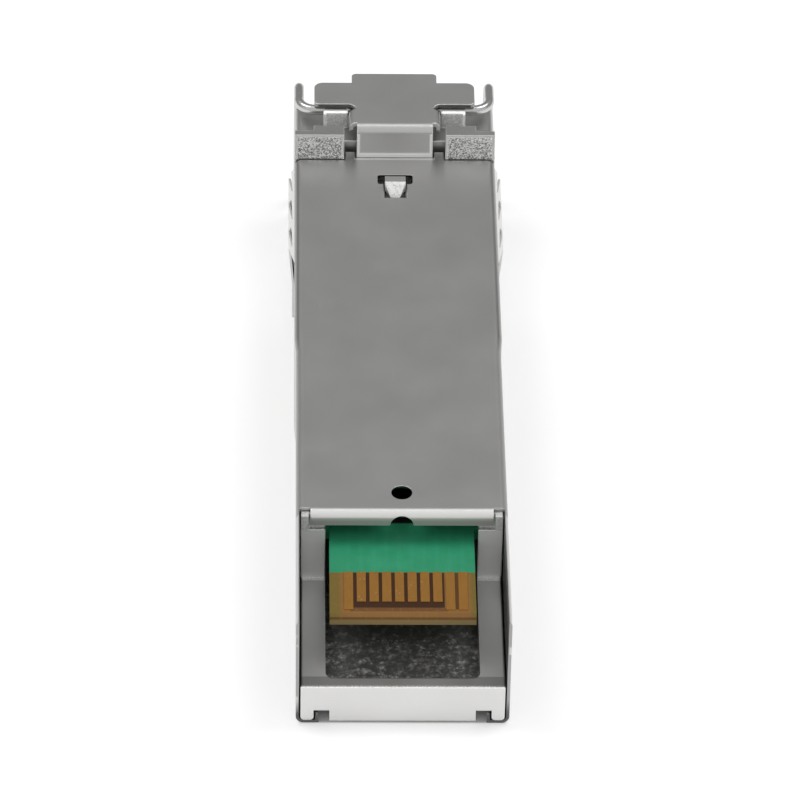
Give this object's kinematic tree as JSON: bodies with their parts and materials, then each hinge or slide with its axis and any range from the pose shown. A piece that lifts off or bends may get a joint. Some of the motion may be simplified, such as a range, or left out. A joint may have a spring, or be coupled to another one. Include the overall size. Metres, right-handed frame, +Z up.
{
  "type": "sfp transceiver",
  "caption": "Pluggable optical network module with a metal shell, an edge connector, two fibre ports and a wire bail that withdraws its latch post.",
  "frame": {"origin": "on the label face, on the module's middle plane, straight under the locking shoulder of the latch post", "axes": "+Y along the module towards the bail, +Z up from the label face to the latch side, X across"},
  "size_m": [0.0144, 0.0543, 0.0109],
  "materials": {
    "cast_zinc": "nickel-plated zinc casting, finely grained",
    "sheet_steel": "plain nickel-plated sheet",
    "spring_steel": "thin spring sheet",
    "wire_steel": "bright drawn wire",
    "laminate": "solder mask over glass laminate",
    "gold": "gold-plated contact",
    "turned_steel": "turned stainless steel",
    "ceramic": "white zirconia ceramic",
    "can_metal": "gold-plated can",
    "flex_film": "amber flexible circuit",
    "clamp_steel": "plain sheet",
    "chip_plastic": "moulded package",
    "capacitor_body": "tan ceramic",
    "resistor_body": "dark ceramic",
    "tantalum_body": "moulded capacitor",
    "ferrite": "dark ferrite"
  },
  "bodies": {
    "module": {"housing": "cast_zinc", "shell": "sheet_steel", "lever_spring": "spring_steel", "ground_spring_left": "spring_steel", "ground_spring_right": "spring_steel", "circuit_board": "laminate", "edge_contacts_latch_side": "gold", "edge_contacts_label_side": "gold", "transmitter_receptacle": "turned_steel", "split_sleeve": "ceramic", "receiver_receptacle": "turned_steel", "laser_can": "can_metal", "photodiode_can": "can_metal", "transmitter_flex": "flex_film", "receiver_flex": "flex_film", "optics_clamp": "clamp_steel", "laser_driver": "chip_plastic", "limiting_amplifier": "chip_plastic", "controller": "chip_plastic", "chip_capacitors": "capacitor_body", "chip_resistors": "resistor_body", "bulk_capacitors": "tantalum_body", "ferrite_beads": "ferrite"},
    "lever": {"latch_lever": "sheet_steel"},
    "bail_wire": {"bail": "wire_steel"}
  },
  "joints": [
    {"name": "bail_swing", "type": "hinge", "parent": "module", "child": "bail_wire", "pos_m": [0, 0.00594, 0.01012], "axis": [1, 0, 0], "range_deg": [0, 90]},
    {"name": "lever_rock", "type": "hinge", "parent": "module", "child": "lever", "pos_m": [0, 0.00275, 0.008], "axis": [1, 0, 0], "range_deg": [0, 10], "deforming": ["lever_spring"]}
  ],
  "couplings": [
    {"joint": "lever_rock", "follows": "bail_swing", "ratio": 0.1111}
  ]
}
